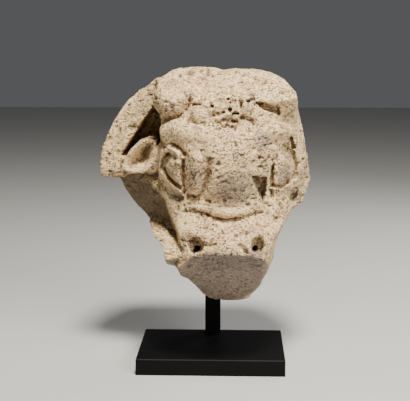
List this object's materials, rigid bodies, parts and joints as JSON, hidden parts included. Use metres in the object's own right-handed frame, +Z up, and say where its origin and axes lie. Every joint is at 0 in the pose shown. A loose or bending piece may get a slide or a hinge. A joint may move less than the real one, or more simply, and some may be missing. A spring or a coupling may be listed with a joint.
{
  "type": "carved stone bull head on a stand",
  "caption": "Bull's head broken from a carved limestone building block, held up by a black flat bar in a rectangular wooden block.",
  "frame": {"origin": "centre of the wooden block's underside", "axes": "+Z up, the face looks towards -Y, +X to the right of the picture"},
  "size_m": [0.2581, 0.1985, 0.3671],
  "materials": {
    "limestone": "matte, pitted, with grey and ochre patches",
    "black_steel": "satin black paint",
    "black_wood": "satin black lacquer"
  },
  "bodies": {
    "root": {"bull_head": "limestone", "support_bar": "black_steel", "base_block": "black_wood"}
  },
  "joints": []
}
